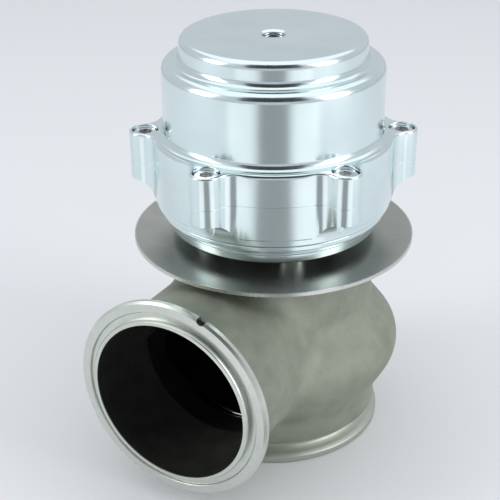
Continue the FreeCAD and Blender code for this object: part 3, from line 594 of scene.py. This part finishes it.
housing_low, housing_high = edges_of("actuator_housing")
base, parting = float(housing_low[2]), float(housing_high[2])
floor = base + 6.0
hub_top = base + 12.0
HUB_BORE, HUB_RADIUS = 5.4, 13.0
SEAL_POCKET = 8.5
BOWL_RADIUS = 41.0
LEDGE_RADIUS, LEDGE_DEPTH = 46.55, 1.2
bowl = rounded(
    [
        (LEDGE_RADIUS, parting),
        (LEDGE_RADIUS, parting - LEDGE_DEPTH),
        (BOWL_RADIUS, parting - LEDGE_DEPTH, 0.3),
        (BOWL_RADIUS, floor, 3.0),
        (HUB_RADIUS, floor, 1.5),
        (HUB_RADIUS, hub_top, 1.0),
        (SEAL_POCKET, hub_top, 0.3),
        (SEAL_POCKET, hub_top - 1.0),
        (HUB_BORE, base + 9.0),
    ]
)
foot_face = circles([(HUB_BORE, base), (20.0, base), (36.0, base)])
wall = [(1, 0.0, base), (1, 0.0, parting - 0.05), (1, 0.05, parting)]
housing = grid_piece("housing_bowl", eared(foot_face + wall + circles(bowl)))

COVE = 7.9
EAR_BOTTOM = parting - 7.1
FOOT, BEAD, UNDERCUT, STEP = 43.5, 47.2, 46.0, 48.6
CLEAR_OF_EARS = 62.0
turning_profile = rounded(
    [
        (FOOT - 1.6, base - 1),
        (FOOT - 0.8, base),
        (FOOT, base + 0.8, 0.2),
        (FOOT, base + 3.6, 0.1),
        (FOOT - 0.4, base + 3.9, 0.1),
        (FOOT - 0.4, base + 4.3, 0.1),
        (FOOT, base + 4.6, 0.1),
        (FOOT, base + 6.9, 0.25),
        (BEAD, base + 6.9, 0.55),
        (BEAD, base + 9.1, 0.35),
        (UNDERCUT, base + 9.1, 0.15),
        (UNDERCUT, base + 10.0, 0.25),
        (STEP, base + 10.0, 0.3),
        (STEP, base + 12.4, 0.3),
        (WALL_RADIUS, base + 13.1, 0.3),
        (WALL_RADIUS, EAR_BOTTOM, COVE),
        (CLEAR_OF_EARS, EAR_BOTTOM),
        (CLEAR_OF_EARS, base - 1),
    ]
)
turning = grid_piece("outer_turning", lathe(turning_profile, spokes=360))

THREAD, THREAD_BOTTOM = 3.05, 104
FOOT_CIRCLE, FOOT_COUNT, FOOT_FIRST, FOOT_HOLE = 27.0, 4, 45, 3.3
ear_places = around(EAR_CIRCLE, EAR_COUNT, EAR_FIRST)
threads = round_holes("threads", ear_places, pin(THREAD, THREAD_BOTTOM, parting + 1))
foot_places = around(FOOT_CIRCLE, FOOT_COUNT, FOOT_FIRST)
foot_holes = round_holes("foot_holes", foot_places, pin(FOOT_HOLE, base - 1, floor + 1))

PORT_RADIUS = 4.3
PORT_GROOVE = 0.55
PORT_PITCH = 1.0


def thread(start, end):
    """Points (r, z) along a tapped hole from start to end: V grooves one pitch apart, cut into its bore."""
    count = int(abs(end - start) / PORT_PITCH)
    step = math.copysign(PORT_PITCH / 2, end - start)
    return [(PORT_RADIUS + PORT_GROOVE * (i % 2), start + step * i) for i in range(2 * count + 1)]


PORT_BELOW_PARTING = 9.0
PORT_INNER_END, PORT_OUTER_END = 38.0, 50.5
PORT_THREAD = (48.2, 40.0)
port_height = parting - PORT_BELOW_PARTING
port_profile = np.array(
    [
        (0, PORT_INNER_END),
        (PORT_RADIUS, PORT_INNER_END),
        *reversed(thread(*PORT_THREAD)),
        (5.6, PORT_OUTER_END - 1.0),
        (6.6, PORT_OUTER_END),
        (0, PORT_OUTER_END),
    ]
)
plug = lathe(port_profile, spokes=64)
port = grid_piece("side_port", np.stack([-plug[..., 2], plug[..., 1], plug[..., 0] + port_height], -1))
cut(housing, turning, threads, foot_holes, port)

# ---------------------------------------------------------------- actuator cap
# The cap is the spring can, turned from the same bar to a stepped crown, with a threaded boost port on top.
# Its skirt carries six ears over the housing's, each counterbored so that a screw's head sits below the top.
CAN_OUTSIDE, CROWN_OUTSIDE = 45.0, 37.7
CAN_INSIDE, CROWN_INSIDE = 40.5, 33.1
shelf, shoulder = parting + 13.2, parting + 43.0
crown_top = float(edges_of("actuator_cap")[1][2])
ceiling = crown_top - 8.0
inner_shoulder = shoulder - 4.6

# The skirt's top edge is rounded by EDGE over the ears, and by twice that between them.
EDGE = 0.9
EAR_REACH, EDGE_GROWS = math.radians(13), math.radians(5)
half_step = math.radians(EAR_STEP / 2)
ear_turns = np.arctan2(outline[:, 1], outline[:, 0]) - math.radians(EAR_FIRST)
from_ear = np.abs((ear_turns + half_step) % math.radians(EAR_STEP) - half_step)
edge = EDGE + EDGE * np.clip((from_ear - EAR_REACH) / EDGE_GROWS, 0, 1)
edge_turns = np.radians(np.linspace(0, 90, 7))
edge_round = [(1, edge * (1 - math.cos(t)), shelf - edge + edge * math.sin(t)) for t in edge_turns]
skirt = [(1, 0.05, parting), (1, 0.0, parting + 0.05), (1, 0.0, parting + 6.0)]
crown = rounded(
    [
        (48.3, shelf),
        (CAN_OUTSIDE, shelf, 3.3),
        (CAN_OUTSIDE, (shelf + shoulder) / 2),
        (CAN_OUTSIDE, shoulder, 3.8),
        (CROWN_OUTSIDE, shoulder, 3.0),
        (CROWN_OUTSIDE, crown_top, 3.0),
        (20.0, crown_top),
        (5.6, crown_top, 0.1),
        *thread(crown_top - 1.0, ceiling + 0.2),
        (PORT_RADIUS, ceiling),
        (CROWN_INSIDE, ceiling, 1.0),
        (CROWN_INSIDE, inner_shoulder, 1.0),
        (CAN_INSIDE, inner_shoulder, 3.0),
        (CAN_INSIDE, parting),
    ],
    step=math.radians(5),
)
cap = grid_piece("spring_can", eared(skirt + edge_round + circles(crown)))

SHANK_HOLE, HEAD_HOLE = 3.3, 5.3
screw_seat = shelf - 7.0
counterbore = rounded(
    [
        (0, parting - 1),
        (SHANK_HOLE, parting - 1),
        (SHANK_HOLE, screw_seat),
        (HEAD_HOLE, screw_seat, 0.3),
        (HEAD_HOLE, shelf - 0.25),
        (HEAD_HOLE + 0.5, shelf + 0.25),
        (HEAD_HOLE + 0.5, shelf + 4),
        (0, shelf + 4),
    ]
)
cut(cap, round_holes("screw_seats", ear_places, counterbore, spokes=64))

billet = Finish("billet_aluminium", Metallic=1.0)
turning_lines = (billet.z * 0.8 + billet.from_axis() * 0.8).tool_lines(5.5)
# The threaded port's bore above the ceiling is painted dark grey, as painted shade in the hole.
near_bore = billet.from_axis().between(PORT_RADIUS + 0.4, PORT_RADIUS + 0.2)
port_painted_shade = near_bore * billet.z.between(ceiling, ceiling + 0.5)
mill_cloud = (turning_lines * 0.4 + billet.at.noise(0.05, 2.0) * 0.6).between(0.3, 0.7)
billet_tone = mill_cloud.colour((0.66, 0.765, 0.775, 1), (0.76, 0.870, 0.880, 1))
billet.set(
    Base_Color=port_painted_shade.colour(billet_tone, (0.20, 0.22, 0.23, 1)),
    Roughness=0.12 + turning_lines * 0.13,
    Normal=turning_lines.bumped(0.0036),
)
for piece, node in ((housing, "actuator_housing"), (cap, "actuator_cap")):
    piece.data.materials.clear()
    piece.data.materials.append(billet.material)
    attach(piece, "gate")
    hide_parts(node)
billet.give("diaphragm_plate", "spring_cup")

# ---------------------------------------------------------------- springs
# Three nested coil springs of shot-peened chrome-silicon wire, wound closer over their end coils.
# They stand between the cup's floor and the cap's ceiling, at one fixed length, and stay with the gate when
# the valve lifts.
CUP_FLOOR = 3.0
SPRING_GAP = 0.2
POINTS_PER_TURN = 40
WIRE_SPOKES = 18
floor_of_cup = float(edges_of("spring_cup")[0][2]) + CUP_FLOOR
spring = Finish("spring_steel", Metallic=1.0)
peened = spring.at.noise(2.2, 2.0)
spring.set(
    Base_Color=spring.at.noise(0.15, 2.0).colour((0.20, 0.205, 0.215, 1), (0.32, 0.325, 0.335, 1)),
    Roughness=0.34 + peened * 0.14,
    Normal=peened.bumped(0.03),
)


def coil(node, mean_radius, wire_radius, turns):
    """A round section carried up a helix: half pitch at its ends, full pitch a turn in, and closed ends."""
    bottom, top_end = floor_of_cup + SPRING_GAP + wire_radius, ceiling - SPRING_GAP - wire_radius
    share = np.linspace(0, 1, int(turns * POINTS_PER_TURN) + 1)
    eased = np.clip(np.minimum(share, 1 - share) * turns, 0, 1)
    climb = 0.5 + 0.5 * eased * eased * (3 - 2 * eased)
    rise = np.concatenate([[0], np.cumsum((climb[1:] + climb[:-1]) / 2)])
    height = bottom + (top_end - bottom) * rise / rise[-1]
    turn = 2 * np.pi * turns * share
    spokes = np.linspace(0, 2 * np.pi, WIRE_SPOKES, endpoint=False)[:, None]
    swell = np.ones_like(turn)
    turn, height, swell = (np.concatenate([[v[0]], v, [v[-1]]]) for v in (turn, height, swell))
    swell[0] = swell[-1] = 0
    out = mean_radius + wire_radius * swell * np.cos(spokes)
    up = height + wire_radius * swell * np.sin(spokes)
    points = np.stack([out * np.cos(turn), out * np.sin(turn), up], -1)
    made = grid_piece(node.replace("spring", "coil"), points, sharp=50, ends_meet=False)
    made.data.materials.append(spring.material)
    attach(made, "gate")
    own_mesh(made)
    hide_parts(node)


coil("outer_spring", 27.6, 2.3, 4.5)
coil("middle_spring", 20.6, 1.9, 5.5)
coil("inner_spring", 14.4, 1.5, 6.5)

# ---------------------------------------------------------------- diaphragm
# A silicone membrane on a woven cloth, dull brick red, with its rim clamped between the housing and the cap.
# Its middle is clamped between the plate and the cup, and the cone between is built in one fixed shape.
MEMBRANE = 1.2
MEMBRANE_HOLE, MEMBRANE_RADIUS = 4.06, 46.5
membrane_low, membrane_high = edges_of("diaphragm")
under, over = float(membrane_low[2]), float(membrane_low[2]) + MEMBRANE
rim_under, rim_over = float(membrane_high[2]) - MEMBRANE, float(membrane_high[2])
membrane_profile = rounded(
    [
        (MEMBRANE_HOLE, under),
        (33.7, under, 2.5),
        (39.7, rim_under, 2.0),
        (MEMBRANE_RADIUS, rim_under),
        (MEMBRANE_RADIUS, rim_over),
        (39.1, rim_over, 2.0),
        (33.1, over, 2.0),
        (MEMBRANE_HOLE, over),
    ]
)
membrane = grid_piece("rolling_membrane", lathe(membrane_profile, spokes=120))
silicone = Finish("membrane_silicone", Roughness=0.62)
weave = (silicone.x * 4.0).maths("SINE") * (silicone.y * 4.0).maths("SINE")
silicone.set(
    Base_Color=silicone.at.noise(0.12, 2.0).colour((0.27, 0.062, 0.035, 1), (0.36, 0.09, 0.05, 1)),
    Normal=weave.bumped(0.05),
)
membrane.data.materials.append(silicone.material)
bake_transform(membrane)
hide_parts("diaphragm")

# ---------------------------------------------------------------- screws, nut, washers, seal and ring
# The socket screws are polished stainless, and the nut and washers are the same steel.
# The stem's seal is black fluorocarbon rubber, held by a sprung wire ring.
screw = Finish("screw_steel", Metallic=1.0)
brushed = screw.at.noise(1.2, 3.0)
screw.set(
    Base_Color=brushed.colour((0.60, 0.61, 0.62, 1), (0.76, 0.77, 0.78, 1)),
    Roughness=0.16 + brushed * 0.14,
    Normal=brushed.bumped(0.004),
)
screw.give("cap_screws", "housing_screws", "housing_screw_washers", "stem_nut", "stem_washer")
spring.give("seal_retaining_ring")
seal = Finish("seal_rubber", Roughness=0.66)
bloom = seal.at.noise(0.6, 3.0)
seal.set(Base_Color=bloom.colour((0.014, 0.014, 0.015, 1), (0.03, 0.03, 0.032, 1)), Normal=bloom.bumped(0.02))
seal.give("stem_seal")
